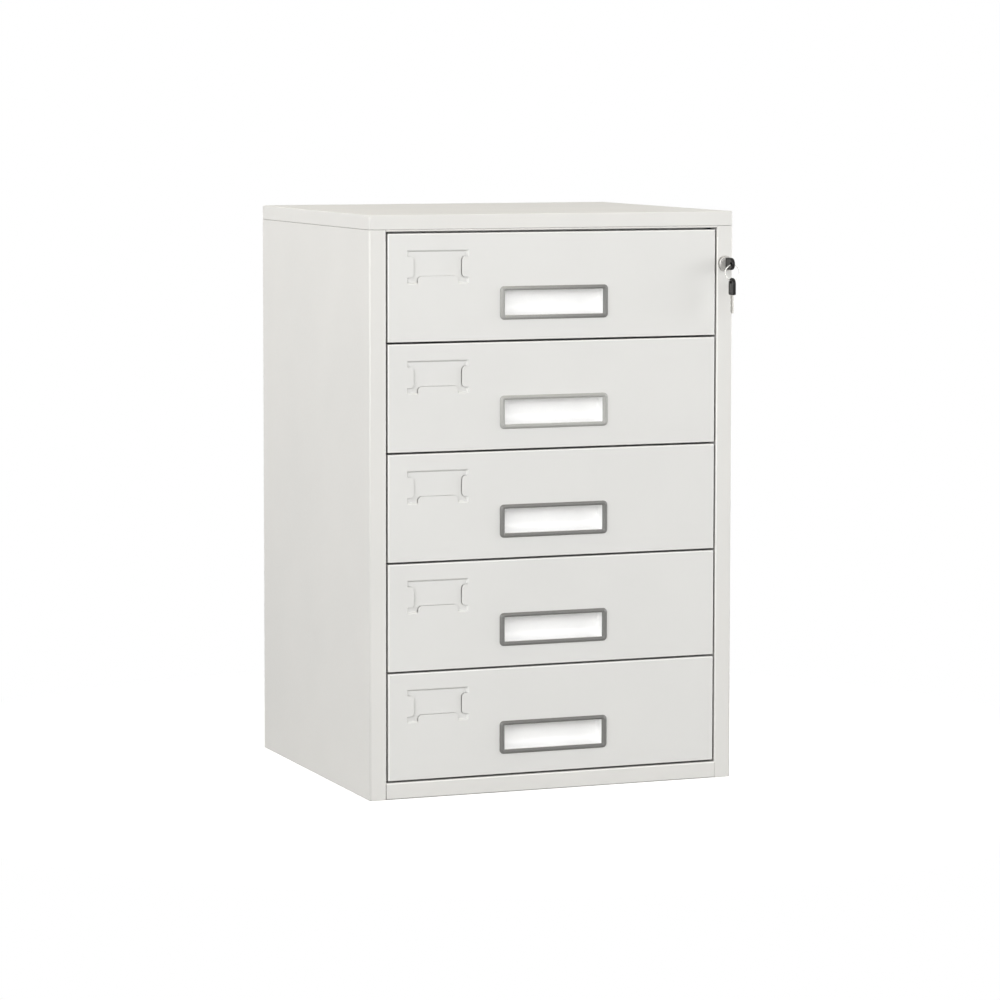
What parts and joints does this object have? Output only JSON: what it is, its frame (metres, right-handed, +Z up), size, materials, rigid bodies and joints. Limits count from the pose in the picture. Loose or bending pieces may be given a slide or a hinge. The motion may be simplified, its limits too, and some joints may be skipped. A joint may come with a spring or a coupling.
{
  "type": "vertical file cabinet",
  "caption": "Free-standing steel cabinet with a column of equal shallow drawers, stamped label holders, recessed handles and one lock in the right front post.",
  "frame": {"origin": "centre of the underside, on the floor", "axes": "+X to the right seen from the front, the drawers face -Y, +Z up"},
  "size_m": [0.472, 0.4395, 0.7],
  "materials": {
    "body_paint": "fine matt powder coat",
    "drawer_paint": "fine matt powder coat",
    "zinc_steel": "zinc plated",
    "slide_steel": "zinc plated, drawn",
    "lock_chrome": "polished",
    "key_steel": "nickel plated",
    "key_plastic": "moulded",
    "bezel_plastic": "satin grey",
    "cup_plastic": "glossy white"
  },
  "bodies": {
    "cabinet": {"top_panel": "body_paint", "left_side_panel": "body_paint", "right_side_panel": "body_paint", "back_panel": "body_paint", "base_panel": "body_paint", "top_front_rail": "body_paint", "front_uprights": "zinc_steel", "rear_uprights": "zinc_steel", "left_slide_rails": "zinc_steel", "right_slide_rails": "zinc_steel", "lock_barrel": "lock_chrome", "lock_clip": "zinc_steel", "lock_bar_guides": "zinc_steel"},
    "drawer_1": {"drawer_1_front": "drawer_paint", "drawer_1_tray": "drawer_paint", "drawer_1_back": "drawer_paint", "drawer_1_handle_bezel": "bezel_plastic", "drawer_1_handle_cup": "cup_plastic", "drawer_1_slide_inner": "slide_steel"},
    "slide_mid_1": {"drawer_1_slide_mid": "slide_steel"},
    "drawer_2": {"drawer_2_front": "drawer_paint", "drawer_2_tray": "drawer_paint", "drawer_2_back": "drawer_paint", "drawer_2_handle_bezel": "bezel_plastic", "drawer_2_handle_cup": "cup_plastic", "drawer_2_slide_inner": "slide_steel"},
    "slide_mid_2": {"drawer_2_slide_mid": "slide_steel"},
    "drawer_3": {"drawer_3_front": "drawer_paint", "drawer_3_tray": "drawer_paint", "drawer_3_back": "drawer_paint", "drawer_3_handle_bezel": "bezel_plastic", "drawer_3_handle_cup": "cup_plastic", "drawer_3_slide_inner": "slide_steel"},
    "slide_mid_3": {"drawer_3_slide_mid": "slide_steel"},
    "drawer_4": {"drawer_4_front": "drawer_paint", "drawer_4_tray": "drawer_paint", "drawer_4_back": "drawer_paint", "drawer_4_handle_bezel": "bezel_plastic", "drawer_4_handle_cup": "cup_plastic", "drawer_4_slide_inner": "slide_steel"},
    "slide_mid_4": {"drawer_4_slide_mid": "slide_steel"},
    "drawer_5": {"drawer_5_front": "drawer_paint", "drawer_5_tray": "drawer_paint", "drawer_5_back": "drawer_paint", "drawer_5_handle_bezel": "bezel_plastic", "drawer_5_handle_cup": "cup_plastic", "drawer_5_slide_inner": "slide_steel"},
    "slide_mid_5": {"drawer_5_slide_mid": "slide_steel"},
    "lock_plug": {"lock_plug": "lock_chrome", "lock_cam": "zinc_steel"},
    "lock_bar": {"lock_bar": "zinc_steel", "lock_hooks": "zinc_steel"},
    "key": {"key_blade": "key_steel", "key_bow": "key_plastic"},
    "key_ring": {"key_ring": "key_steel"},
    "spare_key": {"spare_key_blade": "key_steel", "spare_key_bow": "key_plastic"}
  },
  "joints": [
    {"name": "drawer_1_travel", "type": "slide", "parent": "cabinet", "child": "drawer_1", "axis": [0, -1, 0], "range_m": [0, 0.34]},
    {"name": "slide_mid_1_travel", "type": "slide", "parent": "cabinet", "child": "slide_mid_1", "axis": [0, -1, 0], "range_m": [0, 0.17]},
    {"name": "drawer_2_travel", "type": "slide", "parent": "cabinet", "child": "drawer_2", "axis": [0, -1, 0], "range_m": [0, 0.34]},
    {"name": "slide_mid_2_travel", "type": "slide", "parent": "cabinet", "child": "slide_mid_2", "axis": [0, -1, 0], "range_m": [0, 0.17]},
    {"name": "drawer_3_travel", "type": "slide", "parent": "cabinet", "child": "drawer_3", "axis": [0, -1, 0], "range_m": [0, 0.34]},
    {"name": "slide_mid_3_travel", "type": "slide", "parent": "cabinet", "child": "slide_mid_3", "axis": [0, -1, 0], "range_m": [0, 0.17]},
    {"name": "drawer_4_travel", "type": "slide", "parent": "cabinet", "child": "drawer_4", "axis": [0, -1, 0], "range_m": [0, 0.34]},
    {"name": "slide_mid_4_travel", "type": "slide", "parent": "cabinet", "child": "slide_mid_4", "axis": [0, -1, 0], "range_m": [0, 0.17]},
    {"name": "drawer_5_travel", "type": "slide", "parent": "cabinet", "child": "drawer_5", "axis": [0, -1, 0], "range_m": [0, 0.34]},
    {"name": "slide_mid_5_travel", "type": "slide", "parent": "cabinet", "child": "slide_mid_5", "axis": [0, -1, 0], "range_m": [0, 0.17]},
    {"name": "lock_turn", "type": "hinge", "parent": "cabinet", "child": "lock_plug", "pos_m": [0.2255, -0.205, 0.636], "axis": [0, -1, 0], "range_deg": [0, 90]},
    {"name": "lock_bar_lift", "type": "slide", "parent": "cabinet", "child": "lock_bar", "axis": [0, 0, 1], "range_m": [0, 0.007]},
    {"name": "key_pull", "type": "slide", "parent": "lock_plug", "child": "key", "axis": [0, -1, 0], "range_m": [0, 0.024]},
    {"name": "key_ring_swing", "type": "hinge", "parent": "key", "child": "key_ring", "pos_m": [0.2255, -0.227, 0.63475], "axis": [-1, 0, 0], "range_deg": [-10, 60]},
    {"name": "spare_key_swing", "type": "hinge", "parent": "key_ring", "child": "spare_key", "pos_m": [0.2255, -0.227, 0.61585], "axis": [-1, 0, 0], "range_deg": [-8, 60]}
  ],
  "couplings": [
    {"joint": "slide_mid_1_travel", "follows": "drawer_1_travel", "ratio": 0.5},
    {"joint": "slide_mid_2_travel", "follows": "drawer_2_travel", "ratio": 0.5},
    {"joint": "slide_mid_3_travel", "follows": "drawer_3_travel", "ratio": 0.5},
    {"joint": "slide_mid_4_travel", "follows": "drawer_4_travel", "ratio": 0.5},
    {"joint": "slide_mid_5_travel", "follows": "drawer_5_travel", "ratio": 0.5},
    {"joint": "lock_turn", "follows": "lock_bar_lift", "rad_per_m": 224.39}
  ]
}
